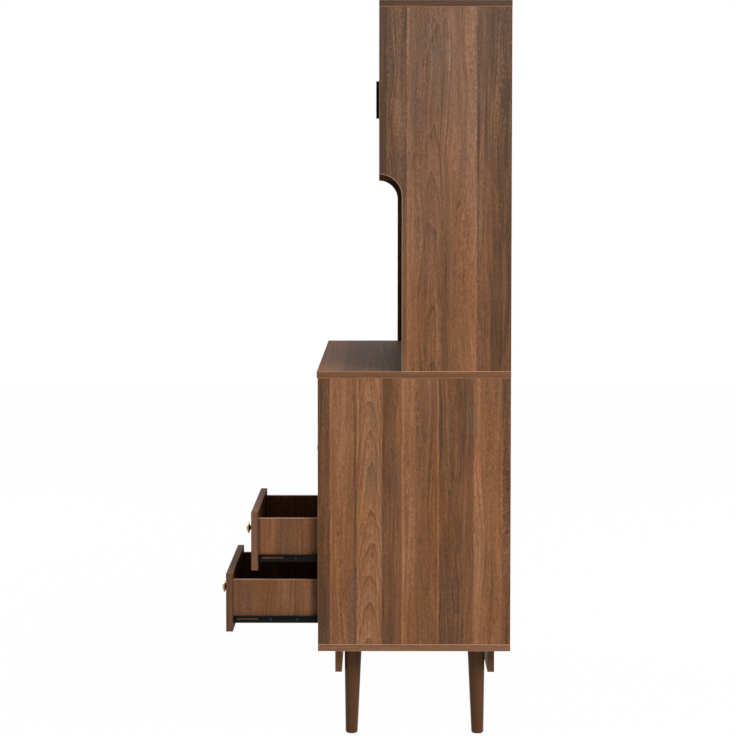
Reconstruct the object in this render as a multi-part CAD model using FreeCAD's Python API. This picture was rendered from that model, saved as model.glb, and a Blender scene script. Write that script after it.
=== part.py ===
import FreeCAD, Part
import math
import os

# Dresser with hutch, in millimetres.
# X runs along the width (right is +), Y from the front (-) to the back (+), Z up from the floor.
# The origin is on the floor, in the middle of the room the dresser takes up with its two
# drawers standing open as they are drawn.

Vector = FreeCAD.Vector
UP = Vector(0, 0, 1)
RIGHT = Vector(1, 0, 0)
FULL_TURN = 360.0

# Carcase of the base
WIDTH = 1100.0              # outer face to outer face of the side boards
BASE_DEPTH = 425.0          # side boards, front edge to back edge
BASE_HEIGHT = 620.0         # body of the base, with its top and bottom boards
BASE_TOP_OVERHANG = 2.0     # base top stands this far in front of the side boards
LEG_HEIGHT = 200.0          # floor to the underside of the bottom board
DRAWER_BAY = 406.0          # clear width of the drawer column at the right
RAIL_HEIGHT = 23.0          # rail that closes the front below the lower drawer
NICHE_SHELF_GAP = 4.0       # air between the upper drawer front and the niche shelf
CUPBOARD_SHELF_RISE = 285.0  # underside of the loose shelf above the cupboard floor
CUPBOARD_SHELF_SETBACK = 12.0  # loose shelf stands this far behind the doors

# Hutch
HUTCH_HEIGHT = 810.0        # base top to the upper face of the hutch
HUTCH_DEPTH = 290.0         # at its cabinet
BAY_DEPTH = 240.0           # at the open bay below the cabinet
BAY_HEIGHT = 432.0          # base top to the underside of the cabinet

# Boards
BOARD = 15.0                # laminated particle board
BACK_BOARD = 3.0            # hardboard backs
BACK_LAP = 7.0              # backs lie this far over the rabbets
BACK_PLAY = 0.3             # backs are cut this much smaller than their rabbets, each side
EASE = 0.6                  # eased arrises of the boards
SHELF_PLAY = 1.0            # loose shelf to the boards beside it
TOOL_PAST = 1.0             # cutting shapes run this far past a face

# Aprons under the base
APRON_HEIGHT = 60.0
APRON_BOARD = 15.0
APRON_FROM_SIDE = 63.0      # apron end to the outer face of the side board
APRON_FROM_FRONT = 37.0     # apron face to the front edge of the side boards
APRON_FROM_BACK = 32.0      # apron face to the back edge of the side boards

# Legs
LEG_TOP_DIAMETER = 39.0
LEG_FOOT_DIAMETER = 27.0
LEG_SPLAY = 1.0             # degrees, outward both ways
LEG_FROM_SIDE = 80.0        # axis at the leg's top to the outer face of the side board
LEG_FROM_FRONT = 77.0
LEG_FROM_BACK = 72.0
FOOT_BEVEL = 2.5            # turned bevel around the foot

# Doors
DOOR_SIDE_GAP = 3.0         # at the hinged edge and between two doors
DOOR_END_GAP = 2.0          # above and below a door
DOOR_AXIS_INSET = 6.0       # pivot axis to the door's hinged edge and to its face
PIVOT_DIAMETER = 5.0
PIVOT_IN_DOOR = 10.0
PIVOT_PLAY = 0.05           # running fit of the pin in the door
PIVOT_END_PLAY = 0.5        # door's hole past the end of the pin
PIVOT_PLATE_LENGTH = 26.0
PIVOT_PLATE_WIDTH = 11.0
PIVOT_PLATE_GAP = 0.3       # plate to the door that turns on it
PIVOT_PLATE_SETBACK = 0.5   # plate behind the face of the door
DIVIDER_GAP = 1.0           # back of a closed door to the divider behind it

# Pulls of the hutch doors
PULL_LENGTH = 90.0
PULL_PLATE_WIDTH = 18.0
PULL_PLATE = 1.6
PULL_LIP = 2.0
PULL_STAND = 7.0            # how far the lip stands out of the door
PULL_RETURN = 4.5           # how far the lip turns back over the plate
PULL_FROM_EDGE = 1.0

# Magnetic catches behind the doors
CATCH_LENGTH = 46.0
CATCH_DEPTH = 13.0
CATCH_HEIGHT = 12.0
CATCH_GAP = 0.3             # to the closed door

# Knobs of the base doors and drawers
KNOB_DIAMETER = 26.0
KNOB_STAND = 23.0           # face to the crown of the knob
KNOB_DOME = 6.5             # height of the dome above the rim
KNOB_RIM = 1.2              # thickness of the rim
KNOB_NECK_DIAMETER = 7.6
KNOB_NECK_RISE = 12.0       # face to the top of the neck
KNOB_FOOT_DIAMETER = 12.0
DOOR_KNOB_DROP = 250.0      # base top to the axis of the door knobs
DOOR_KNOB_FROM_EDGE = 28.0

# Drawers
FRONT_HEIGHT = 130.0
FRONT_SIDE_GAP = 2.0
FRONT_BOTTOM_GAP = 2.0      # lower front to the rail
FRONT_SPACING = 7.0         # finger gap between the two fronts
BOX_HEIGHT = 96.0
BOX_LENGTH = 350.0
BOX_BOARD = 12.0
BOX_DROP = 15.0             # top of the box below the top of the front
BOX_FLOOR = 3.0
BOX_FLOOR_RISE = 8.0        # groove above the lower edge of the box side
GROOVE_DEPTH = 5.0
GROOVE_PLAY = 0.15
UPPER_OPEN = 148.0          # how far each drawer stands open as drawn
LOWER_OPEN = 204.0

# Roller runners
RUNNER_SPACE = 12.5         # box side to cabinet side
STEEL = 1.2
RUNNER_WEB = 15.0           # steel above the lower edge of the box side
RUNNER_FLANGE = 10.5        # steel under the box side
TRACK_CLEAR = 1.8           # outer flange of the drawer's steel to the channel's web
CHANNEL_CLEAR = 1.0         # channel flanges to the drawer's steel
CHANNEL_SETBACK = 2.0       # channel behind a closed drawer front
ROLLER_DIAMETER = 13.0
ROLLER_WIDTH = 5.0
ROLLER_INSET = 9.0          # roller axis to the end of its own runner
ROLLER_BORE_PLAY = 0.1
ROLLER_SIDE_PLAY = 0.3
RUN_GAP = 0.3               # roller to track, above and below
AXLE_DIAMETER = 4.0
STOP_THICKNESS = 2.5
STOP_HEIGHT = 5.0
DRAWER_TRAVEL = 262.0       # from closed to the front stop
SLOT_LENGTH = 48.0          # adjusting slot in the web of the drawer's steel
SLOT_HEIGHT = 4.0
SLOT_FROM_END = 8.0

# Angle clips under the loose shelf
CLIP_WIDTH = 14.0
CLIP_HEIGHT = 16.0
CLIP_LEDGE = 12.0
CLIP_STEEL = 1.5
CLIP_FROM_EDGE = 40.0

# Planes that several pieces share
HALF = WIDTH / 2
INNER = HALF - BOARD
REACH = LOWER_OPEN + KNOB_STAND         # foremost point, in front of the base
BACK = (BASE_DEPTH + REACH) / 2
FRONT = BACK - BASE_DEPTH
BACK_FACE = BACK - BACK_BOARD           # front face of the hardboard backs
FLOOR_TOP = LEG_HEIGHT + BOARD          # upper face of the bottom board
BASE_TOP = LEG_HEIGHT + BASE_HEIGHT     # upper face of the base
BASE_CEILING = BASE_TOP - BOARD
BAY_RIGHT = INNER                       # right wall of the drawer column
BAY_LEFT = INNER - DRAWER_BAY
PARTITION_LEFT = BAY_LEFT - BOARD
LOWER_FRONT_Z = FLOOR_TOP + RAIL_HEIGHT + FRONT_BOTTOM_GAP
UPPER_FRONT_Z = LOWER_FRONT_Z + FRONT_HEIGHT + FRONT_SPACING
NICHE_SHELF_Z = UPPER_FRONT_Z + FRONT_HEIGHT + NICHE_SHELF_GAP
HUTCH_TOP = BASE_TOP + HUTCH_HEIGHT
HUTCH_CEILING = HUTCH_TOP - BOARD
HUTCH_FRONT = BACK - HUTCH_DEPTH
BAY_FRONT = BACK - BAY_DEPTH
CABINET_Z = BASE_TOP + BAY_HEIGHT       # underside of the hutch cabinet
CABINET_FLOOR = CABINET_Z + BOARD


def block(x0, x1, y0, y1, z0, z1):
    """A plain box between two corners."""
    return Part.makeBox(x1 - x0, y1 - y0, z1 - z0, Vector(x0, y0, z0))


def board(x0, x1, y0, y1, z0, z1):
    """A board with all its arrises eased."""
    solid = block(x0, x1, y0, y1, z0, z1)
    return solid.makeChamfer(EASE, solid.Edges)


def rod(diameter, start, direction, length):
    """A round bar from a point, along a direction."""
    return Part.makeCylinder(diameter / 2, length, start, direction)


def prism(points, push):
    """A polygon pushed along a vector."""
    return Part.Face(Part.makePolygon(points + points[:1])).extrude(push)


def write(node, *solids):
    """One STEP file for a node: a single solid, or a group of like pieces."""
    shape = solids[0] if len(solids) == 1 else Part.makeCompound(list(solids))
    shape.exportStep("parts/" + node + ".step")


# Base carcase

def back_rabbet(z0, z1):
    """The room that a hardboard back and its rabbet take up."""
    lap = INNER + BACK_LAP
    return block(-lap, lap, BACK_FACE, BACK + TOOL_PAST, z0, z1)


def back_panel(z0, z1):
    """The hardboard that fills a rabbet, flush with the back edges of the boards."""
    lap = INNER + BACK_LAP - BACK_PLAY
    return block(-lap, lap, BACK_FACE, BACK, z0 + BACK_PLAY, z1 - BACK_PLAY)


BASE_RABBET = (FLOOR_TOP - BACK_LAP, BASE_CEILING + BACK_LAP)
HUTCH_RABBET = (BASE_TOP, HUTCH_CEILING + BACK_LAP)


def leg_places():
    """Name, x, y and outward signs of each leg, at the underside of the bottom board."""
    x = HALF - LEG_FROM_SIDE
    front = FRONT + LEG_FROM_FRONT
    rear = BACK - LEG_FROM_BACK
    return [("leg_front_left", -x, front, -1, -1), ("leg_front_right", x, front, 1, -1),
            ("leg_rear_left", -x, rear, -1, 1), ("leg_rear_right", x, rear, 1, 1)]


def leg(x, y, side, end):
    """A turned leg that leans outward, cut level at the floor and under the board."""
    lean = math.tan(math.radians(LEG_SPLAY))
    down = Vector(side * lean, end * lean, -1)
    top = Vector(x, y, LEG_HEIGHT)
    foot = LEG_FOOT_DIAMETER / 2
    drop = LEG_HEIGHT - FOOT_BEVEL
    taper = (LEG_TOP_DIAMETER / 2 - foot) / drop
    shaft = Part.makeCone(LEG_TOP_DIAMETER / 2 + taper * TOOL_PAST, foot,
                          (drop + TOOL_PAST) * down.Length, top - down * TOOL_PAST, down)
    bevel = Part.makeCone(foot, foot - FOOT_BEVEL - TOOL_PAST,
                          (FOOT_BEVEL + TOOL_PAST) * down.Length, top + down * drop, down)
    around = LEG_TOP_DIAMETER
    level = block(x - around, x + around, y - around, y + around, 0, LEG_HEIGHT)
    return shaft.fuse(bevel).common(level)


def pivot_hole(x, y, edge, into_door):
    """The hole in a door's end edge for a pivot pin; into_door is +1 for a hole going up."""
    start = Vector(x, y, edge - into_door * TOOL_PAST)
    depth = PIVOT_IN_DOOR + PIVOT_END_PLAY + TOOL_PAST
    return rod(PIVOT_DIAMETER + 2 * PIVOT_PLAY, start, Vector(0, 0, into_door), depth)


def pivot(x0, x1, hinged_right, face, seat, way):
    """A pivot: a plate on the board at seat, and its pin; way is +1 for a pin that stands up."""
    x, y = door_axis(x0, x1, hinged_right, face)
    thickness = DOOR_END_GAP - PIVOT_PLATE_GAP
    wall = x1 + DOOR_SIDE_GAP if hinged_right else x0 - DOOR_SIDE_GAP
    inward = -1 if hinged_right else 1
    plate_x = sorted((wall, wall + inward * PIVOT_PLATE_LENGTH))
    plate_z = sorted((seat, seat + way * thickness))
    plate_y = face + PIVOT_PLATE_SETBACK
    plate = block(plate_x[0], plate_x[1], plate_y, plate_y + PIVOT_PLATE_WIDTH,
                  plate_z[0], plate_z[1])
    pin = rod(PIVOT_DIAMETER, Vector(x, y, seat), Vector(0, 0, way),
              DOOR_END_GAP + PIVOT_IN_DOOR)
    return plate.fuse(pin).removeSplitter()


def door_axis(x0, x1, hinged_right, face):
    """Where a door turns: near its hinged edge and its face."""
    edge = x1 - DOOR_AXIS_INSET if hinged_right else x0 + DOOR_AXIS_INSET
    return edge, face + DOOR_AXIS_INSET


def door_pair(left_wall, right_wall):
    """The x limits of two doors that share an opening."""
    width = (right_wall - left_wall - 3 * DOOR_SIDE_GAP) / 2
    left = left_wall + DOOR_SIDE_GAP
    right = right_wall - DOOR_SIDE_GAP
    return (left, left + width), (right - width, right)


HUTCH_DOORS = door_pair(-INNER, INNER)
BASE_DOORS = door_pair(-INNER, PARTITION_LEFT)


def pivots_of(doors, face, floor, ceiling):
    """The four pivots of two doors."""
    pivots = []
    for hinged_right, (x0, x1) in enumerate(doors):
        pivots.append(pivot(x0, x1, hinged_right, face, floor, 1))
        pivots.append(pivot(x0, x1, hinged_right, face, ceiling, -1))
    return pivots


def knob(x, face, z):
    """A mushroom knob on a tapered stem, forward of a face."""
    rim_radius = KNOB_DIAMETER / 2
    neck = KNOB_NECK_DIAMETER / 2
    foot = KNOB_FOOT_DIAMETER / 2
    rim_high = KNOB_STAND - KNOB_DOME
    rim_low = rim_high - KNOB_RIM
    dome_radius = (rim_radius ** 2 + KNOB_DOME ** 2) / (2 * KNOB_DOME)
    half_way = math.asin(rim_radius / dome_radius) / 2
    dome_middle = Vector(dome_radius * math.sin(half_way), 0,
                         KNOB_STAND - dome_radius * (1 - math.cos(half_way)))
    corners = [Vector(0, 0, KNOB_STAND), Vector(0, 0, 0), Vector(foot, 0, 0),
               Vector(neck, 0, KNOB_NECK_RISE), Vector(rim_radius, 0, rim_low),
               Vector(rim_radius, 0, rim_high)]
    dome = Part.Arc(corners[-1], dome_middle, corners[0]).toShape()
    outline = Part.Wire(Part.makePolygon(corners).Edges + [dome])
    turned = Part.Face(outline).revolve(Vector(0, 0, 0), UP, FULL_TURN)
    turned.rotate(Vector(0, 0, 0), RIGHT, FULL_TURN / 4)
    turned.translate(Vector(x, face, z))
    return turned


def shelf_clips():
    """Four angle clips on the cupboard's walls, that carry the loose shelf."""
    y0, y1 = cupboard_shelf_depth()
    z = FLOOR_TOP + CUPBOARD_SHELF_RISE
    clips = []
    for y in (y0 + CLIP_FROM_EDGE, y1 - CLIP_FROM_EDGE - CLIP_WIDTH):
        for wall, way in ((-INNER, 1), (PARTITION_LEFT, -1)):
            leaf = sorted((wall, wall + way * CLIP_STEEL))
            ledge = sorted((wall, wall + way * CLIP_LEDGE))
            clips.append(block(leaf[0], leaf[1], y, y + CLIP_WIDTH, z - CLIP_HEIGHT, z).fuse(
                block(ledge[0], ledge[1], y, y + CLIP_WIDTH, z - CLIP_STEEL, z)).removeSplitter())
    return clips


def cupboard_shelf_depth():
    """Front and back of the loose shelf."""
    return FRONT + BOARD + CUPBOARD_SHELF_SETBACK, BACK_FACE - SHELF_PLAY


def build_base():
    """Boards, back and shelf of the base."""
    rabbet = back_rabbet(*BASE_RABBET)
    top = board(-HALF, HALF, FRONT - BASE_TOP_OVERHANG, BACK, BASE_CEILING, BASE_TOP)
    write("base_top", top.cut(rabbet))
    bottom = board(-HALF, HALF, FRONT, BACK, LEG_HEIGHT, FLOOR_TOP)
    write("base_bottom", bottom.cut(rabbet))
    left = board(-HALF, -INNER, FRONT, BACK, FLOOR_TOP, BASE_CEILING)
    write("base_side_left", left.cut(rabbet))
    right = board(INNER, HALF, FRONT, BACK, FLOOR_TOP, BASE_CEILING)
    write("base_side_right", right.cut(rabbet))
    write("base_partition", board(PARTITION_LEFT, BAY_LEFT, FRONT, BACK_FACE,
                                  FLOOR_TOP, BASE_CEILING))
    write("base_back", back_panel(*BASE_RABBET))
    write("niche_shelf", board(BAY_LEFT, BAY_RIGHT, FRONT, BACK_FACE,
                               NICHE_SHELF_Z, NICHE_SHELF_Z + BOARD))
    write("drawer_rail", board(BAY_LEFT, BAY_RIGHT, FRONT, FRONT + BOARD,
                               FLOOR_TOP, FLOOR_TOP + RAIL_HEIGHT))
    shelf_y = cupboard_shelf_depth()
    shelf_z = FLOOR_TOP + CUPBOARD_SHELF_RISE
    write("cupboard_shelf", board(-INNER + SHELF_PLAY + CLIP_STEEL,
                                  PARTITION_LEFT - SHELF_PLAY - CLIP_STEEL,
                                  shelf_y[0], shelf_y[1], shelf_z, shelf_z + BOARD))
    write("shelf_clips", *shelf_clips())


def build_stand():
    """Aprons and legs under the base."""
    end = HALF - APRON_FROM_SIDE
    front = FRONT + APRON_FROM_FRONT
    rear = BACK - APRON_FROM_BACK
    z0 = LEG_HEIGHT - APRON_HEIGHT
    write("front_apron", board(-end, end, front, front + APRON_BOARD, z0, LEG_HEIGHT))
    write("rear_apron", board(-end, end, rear - APRON_BOARD, rear, z0, LEG_HEIGHT))
    for name, x, y, side, outward in leg_places():
        write(name, leg(x, y, side, outward))


def hutch_side(x0):
    """A side of the hutch: deep at the cabinet, set back with a cove at the open bay."""
    cove = HUTCH_DEPTH - BAY_DEPTH
    spring = CABINET_Z - cove
    turn = cove * math.sqrt(0.5)
    at = lambda y, z: Vector(x0, y, z)
    outline = Part.Wire([
        Part.makeLine(at(BACK, BASE_TOP), at(BACK, HUTCH_CEILING)),
        Part.makeLine(at(BACK, HUTCH_CEILING), at(HUTCH_FRONT, HUTCH_CEILING)),
        Part.makeLine(at(HUTCH_FRONT, HUTCH_CEILING), at(HUTCH_FRONT, CABINET_Z)),
        Part.Arc(at(HUTCH_FRONT, CABINET_Z), at(HUTCH_FRONT + turn, spring + turn),
                 at(BAY_FRONT, spring)).toShape(),
        Part.makeLine(at(BAY_FRONT, spring), at(BAY_FRONT, BASE_TOP)),
        Part.makeLine(at(BAY_FRONT, BASE_TOP), at(BACK, BASE_TOP))])
    side = Part.Face(outline).extrude(RIGHT * BOARD)
    seams = [edge for edge in side.Edges if edge.BoundBox.ZMax <= BASE_TOP + EASE
             or edge.BoundBox.ZMin >= HUTCH_CEILING - EASE or edge.BoundBox.XLength < EASE]
    return side.makeChamfer(EASE, seams)


def build_hutch():
    """Boards and back of the hutch, which stands on the base top."""
    rabbet = back_rabbet(*HUTCH_RABBET)
    top = board(-HALF, HALF, HUTCH_FRONT, BACK, HUTCH_CEILING, HUTCH_TOP)
    write("hutch_top", top.cut(rabbet))
    write("hutch_side_left", hutch_side(-HALF).cut(rabbet))
    write("hutch_side_right", hutch_side(INNER).cut(rabbet))
    write("hutch_floor", board(-INNER, INNER, HUTCH_FRONT, BACK_FACE, CABINET_Z, CABINET_FLOOR))
    write("hutch_divider", board(-BOARD / 2, BOARD / 2, HUTCH_FRONT + BOARD + DIVIDER_GAP,
                                 BACK_FACE, CABINET_FLOOR, HUTCH_CEILING))
    write("hutch_back", back_panel(*HUTCH_RABBET))


def door(x0, x1, z0, z1, hinged_right, face):
    """An inset door with a pivot hole in each end edge."""
    x, y = door_axis(x0, x1, hinged_right, face)
    panel = board(x0, x1, face, face + BOARD, z0, z1)
    return panel.cut([pivot_hole(x, y, z0, 1), pivot_hole(x, y, z1, -1)])


def pull(edge, inward, z):
    """A vertical finger pull: a plate on the door, a lip at its free edge and a turned return."""
    out = HUTCH_FRONT - PULL_STAND
    at = lambda along, y: Vector(edge + inward * (PULL_FROM_EDGE + along), y, z - PULL_LENGTH / 2)
    profile = [at(0, HUTCH_FRONT), at(0, out), at(PULL_LIP + PULL_RETURN, out),
               at(PULL_LIP + PULL_RETURN, out + PULL_PLATE), at(PULL_LIP, out + PULL_PLATE),
               at(PULL_LIP, HUTCH_FRONT - PULL_PLATE),
               at(PULL_PLATE_WIDTH, HUTCH_FRONT - PULL_PLATE), at(PULL_PLATE_WIDTH, HUTCH_FRONT)]
    return prism(profile, Vector(0, 0, PULL_LENGTH))


def build_doors():
    """Four inset doors with their pulls and knobs, the pivots and the catches."""
    sides = ("left", "right")
    z0 = CABINET_FLOOR + DOOR_END_GAP
    z1 = HUTCH_CEILING - DOOR_END_GAP
    for hinged_right, (x0, x1) in enumerate(HUTCH_DOORS):
        write("hutch_door_" + sides[hinged_right], door(x0, x1, z0, z1, hinged_right, HUTCH_FRONT))
        free_edge = x0 if hinged_right else x1
        inward = 1 if hinged_right else -1
        write("hutch_pull_" + sides[hinged_right], pull(free_edge, inward, (z0 + z1) / 2))
    z0 = FLOOR_TOP + DOOR_END_GAP
    z1 = BASE_CEILING - DOOR_END_GAP
    knob_z = BASE_TOP - DOOR_KNOB_DROP
    for hinged_right, (x0, x1) in enumerate(BASE_DOORS):
        knob_x = x0 + DOOR_KNOB_FROM_EDGE if hinged_right else x1 - DOOR_KNOB_FROM_EDGE
        write("base_door_" + sides[hinged_right], door(x0, x1, z0, z1, hinged_right, FRONT))
        write("base_knob_" + sides[hinged_right], knob(knob_x, FRONT, knob_z))
    write("hutch_pivots", *pivots_of(HUTCH_DOORS, HUTCH_FRONT, CABINET_FLOOR, HUTCH_CEILING))
    write("base_pivots", *pivots_of(BASE_DOORS, FRONT, FLOOR_TOP, BASE_CEILING))
    hutch_y = HUTCH_FRONT + BOARD + CATCH_GAP
    base_y = FRONT + BOARD + CATCH_GAP
    meeting = (BASE_DOORS[0][1] + BASE_DOORS[1][0]) / 2
    write("door_catches",
          block(-BOARD / 2 - CATCH_LENGTH, -BOARD / 2, hutch_y, hutch_y + CATCH_DEPTH,
                HUTCH_CEILING - CATCH_HEIGHT, HUTCH_CEILING),
          block(BOARD / 2, BOARD / 2 + CATCH_LENGTH, hutch_y, hutch_y + CATCH_DEPTH,
                HUTCH_CEILING - CATCH_HEIGHT, HUTCH_CEILING),
          block(meeting - CATCH_LENGTH / 2, meeting + CATCH_LENGTH / 2, base_y,
                base_y + CATCH_DEPTH, BASE_CEILING - CATCH_HEIGHT, BASE_CEILING))


# Roller runners. Heights count from the lower edge of the box side, and a side of -1 or +1
# says which side of the drawer a runner is on.

BOX_LEFT = BAY_LEFT + RUNNER_SPACE
BOX_RIGHT = BAY_RIGHT - RUNNER_SPACE
ROLLER_RISE = RUNNER_WEB - STEEL - RUN_GAP - ROLLER_DIAMETER / 2
CHANNEL_TRACK = ROLLER_RISE - ROLLER_DIAMETER / 2 - RUN_GAP
CHANNEL_LIP = RUNNER_WEB + RUN_GAP
CHANNEL_FRONT = FRONT + BOARD + CHANNEL_SETBACK
CHANNEL_BACK = CHANNEL_FRONT + BOX_LENGTH
FRONT_ROLLER_Y = CHANNEL_FRONT + ROLLER_INSET
REAR_ROLLER_Y = FRONT + BOARD + BOX_LENGTH - ROLLER_INSET      # with the drawer closed


def across(side, near, far, y0, y1, z0, z1):
    """A block beside the box: near and far count outward from the box side's outer face."""
    wall = BOX_RIGHT if side > 0 else BOX_LEFT
    x0, x1 = sorted((wall + side * near, wall + side * far))
    return block(x0, x1, y0, y1, z0, z1)


def axle(side, root, reach, y, z):
    """A roller's axle, from a web outward by reach; reach is negative inward."""
    wall = BOX_RIGHT if side > 0 else BOX_LEFT
    way = RIGHT * side if reach > 0 else RIGHT * -side
    return rod(AXLE_DIAMETER, Vector(wall + side * root, y, z), way, abs(reach))


def roller(side, near, y, z):
    """A nylon roller that starts near from the box side."""
    wall = BOX_RIGHT if side > 0 else BOX_LEFT
    start = Vector(wall + side * near, y, z)
    way = RIGHT * side
    bore = rod(AXLE_DIAMETER + 2 * ROLLER_BORE_PLAY, start, way, ROLLER_WIDTH)
    return rod(ROLLER_DIAMETER, start, way, ROLLER_WIDTH).cut(bore)


ROLLER_REACH = ROLLER_WIDTH + 2 * ROLLER_SIDE_PLAY
WEB_FACE = RUNNER_SPACE - STEEL         # face of the channel's web, from the box side


def channel(side, z):
    """The cabinet's runner: an open channel with a roller axle in front and two end stops."""
    y0, y1 = CHANNEL_FRONT, CHANNEL_BACK
    near = STEEL + CHANNEL_CLEAR
    track = z + CHANNEL_TRACK
    lip = z + CHANNEL_LIP
    steel = across(side, WEB_FACE, RUNNER_SPACE, y0, y1, track - STEEL, lip + STEEL)
    steel = steel.fuse([
        across(side, near, WEB_FACE, y0, y1, track - STEEL, track),
        across(side, near, WEB_FACE, y0, y1, lip, lip + STEEL),
        axle(side, WEB_FACE, -ROLLER_REACH, FRONT_ROLLER_Y, z + ROLLER_RISE)])
    clear = ROLLER_DIAMETER / 2 + RUN_GAP
    front_stop = REAR_ROLLER_Y - DRAWER_TRAVEL - clear
    rear_stop = REAR_ROLLER_Y + clear
    return steel.fuse([
        across(side, near, WEB_FACE, front_stop - STOP_THICKNESS, front_stop,
               track, track + STOP_HEIGHT),
        across(side, near, WEB_FACE, rear_stop, rear_stop + STOP_THICKNESS,
               track, track + STOP_HEIGHT)]).removeSplitter()


def drawer_steel(side, z, shift):
    """The drawer's runner: a web with a slot, a flange under the box, a track and an axle."""
    y0 = FRONT + BOARD + shift
    y1 = y0 + BOX_LENGTH
    top = z + RUNNER_WEB
    web = across(side, 0, STEEL, y0, y1, z - STEEL, top)
    middle = z + RUNNER_WEB / 2
    slot_start = y0 + SLOT_FROM_END
    slot = across(side, -TOOL_PAST, STEEL + TOOL_PAST, slot_start, slot_start + SLOT_LENGTH,
                  middle - SLOT_HEIGHT / 2, middle + SLOT_HEIGHT / 2)
    return web.fuse([
        across(side, -RUNNER_FLANGE, 0, y0, y1, z - STEEL, z),
        across(side, STEEL, WEB_FACE - TRACK_CLEAR, y0, y1, top - STEEL, top),
        axle(side, STEEL, ROLLER_REACH, REAR_ROLLER_Y + shift, z + ROLLER_RISE),
    ]).cut(slot).removeSplitter()


def build_drawer(name, front_z, opened):
    """One drawer, standing open: front, knob, box, and the running gear that rides on it."""
    shift = -opened
    face = FRONT + shift
    y0 = face + BOARD
    y1 = y0 + BOX_LENGTH
    z0 = front_z + FRONT_HEIGHT - BOX_DROP - BOX_HEIGHT
    z1 = z0 + BOX_HEIGHT
    left = BAY_LEFT + FRONT_SIDE_GAP
    right = BAY_RIGHT - FRONT_SIDE_GAP
    knob_x = (left + right) / 2
    knob_z = front_z + FRONT_HEIGHT / 2

    floor_z = z0 + BOX_FLOOR_RISE
    groove = block(BOX_LEFT + BOX_BOARD - GROOVE_DEPTH, BOX_RIGHT - BOX_BOARD + GROOVE_DEPTH,
                   y0 - GROOVE_DEPTH, y1 + TOOL_PAST,
                   floor_z - GROOVE_PLAY, floor_z + BOX_FLOOR + GROOVE_PLAY)
    front = board(left, right, face, y0, front_z, front_z + FRONT_HEIGHT)
    write(name + "_front", front.cut(groove))
    write(name + "_knob", knob(knob_x, face, knob_z))
    write(name + "_side_left",
          board(BOX_LEFT, BOX_LEFT + BOX_BOARD, y0, y1, z0, z1).cut(groove))
    write(name + "_side_right",
          board(BOX_RIGHT - BOX_BOARD, BOX_RIGHT, y0, y1, z0, z1).cut(groove))
    write(name + "_back", board(BOX_LEFT + BOX_BOARD, BOX_RIGHT - BOX_BOARD, y1 - BOX_BOARD, y1,
                                floor_z + BOX_FLOOR, z1))
    lap = GROOVE_DEPTH - GROOVE_PLAY
    write(name + "_floor", block(BOX_LEFT + BOX_BOARD - lap, BOX_RIGHT - BOX_BOARD + lap,
                                 y0 - lap, y1, floor_z, floor_z + BOX_FLOOR))
    write(name + "_runners", *[drawer_steel(side, z0, shift) for side in (-1, 1)])
    write(name + "_rollers", *[roller(side, STEEL + ROLLER_SIDE_PLAY, REAR_ROLLER_Y + shift,
                                      z0 + ROLLER_RISE) for side in (-1, 1)])
    return z0


def build_drawers():
    """Both drawers, and the channels and rollers that carry them in the cabinet."""
    levels = [build_drawer("lower", LOWER_FRONT_Z, LOWER_OPEN),
              build_drawer("upper", UPPER_FRONT_Z, UPPER_OPEN)]
    places = [(side, z) for z in levels for side in (-1, 1)]
    near = WEB_FACE - ROLLER_SIDE_PLAY - ROLLER_WIDTH
    write("cabinet_runners", *[channel(side, z) for side, z in places])
    write("cabinet_rollers", *[roller(side, near, FRONT_ROLLER_Y, z + ROLLER_RISE)
                               for side, z in places])


os.makedirs("parts", exist_ok=True)
build_base()
build_stand()
build_hutch()
build_doors()
build_drawers()
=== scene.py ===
"""Finishes, fittings and stage of a walnut-laminate dresser with a hutch."""

import math

import bmesh
import bpy
from mathutils import Matrix, Vector


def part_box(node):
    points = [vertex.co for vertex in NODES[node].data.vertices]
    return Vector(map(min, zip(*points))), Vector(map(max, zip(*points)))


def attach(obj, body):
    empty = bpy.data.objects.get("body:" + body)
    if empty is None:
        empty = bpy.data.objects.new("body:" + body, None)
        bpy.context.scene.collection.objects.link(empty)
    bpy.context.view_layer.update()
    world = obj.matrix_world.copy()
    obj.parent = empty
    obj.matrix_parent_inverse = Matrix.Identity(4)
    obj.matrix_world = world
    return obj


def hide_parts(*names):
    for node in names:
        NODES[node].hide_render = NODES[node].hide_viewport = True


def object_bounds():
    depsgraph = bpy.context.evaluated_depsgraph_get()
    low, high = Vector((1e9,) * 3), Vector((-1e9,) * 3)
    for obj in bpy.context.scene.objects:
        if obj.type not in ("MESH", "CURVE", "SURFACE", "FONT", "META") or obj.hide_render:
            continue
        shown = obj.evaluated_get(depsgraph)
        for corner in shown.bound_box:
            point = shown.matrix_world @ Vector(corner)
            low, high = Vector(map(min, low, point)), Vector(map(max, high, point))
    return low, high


bl_info = {
    "name": "Dresser with hutch",
    "version": (1, 0, 0),
    "blender": (4, 5, 0),
    "location": "View3D > Sidebar > Dresser",
    "description": "Finishes, fittings and stage of a walnut dresser with a hutch",
    "category": "Object",
}

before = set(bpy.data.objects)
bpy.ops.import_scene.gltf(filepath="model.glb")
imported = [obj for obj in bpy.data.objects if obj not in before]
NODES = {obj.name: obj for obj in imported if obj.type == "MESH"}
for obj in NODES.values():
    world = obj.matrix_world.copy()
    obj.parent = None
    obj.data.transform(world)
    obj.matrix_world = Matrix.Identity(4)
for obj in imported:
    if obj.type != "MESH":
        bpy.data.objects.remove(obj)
CAD_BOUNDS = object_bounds()

MM = 0.001
DRAWERS = ("upper", "lower")
SIDES = ("left", "right")
PICTURE_HEIGHT = 736        # pixels
LENS_SHIFT = -40            # pixels


def linear(colour):
    """An sRGB hex colour as linear red, green and blue."""
    channels = [int(colour[i:i + 2], 16) / 255 for i in (1, 3, 5)]
    return tuple(c / 12.92 if c <= 0.04045 else ((c + 0.055) / 1.055) ** 2.4 for c in channels)


# Settings that a user would change

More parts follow.
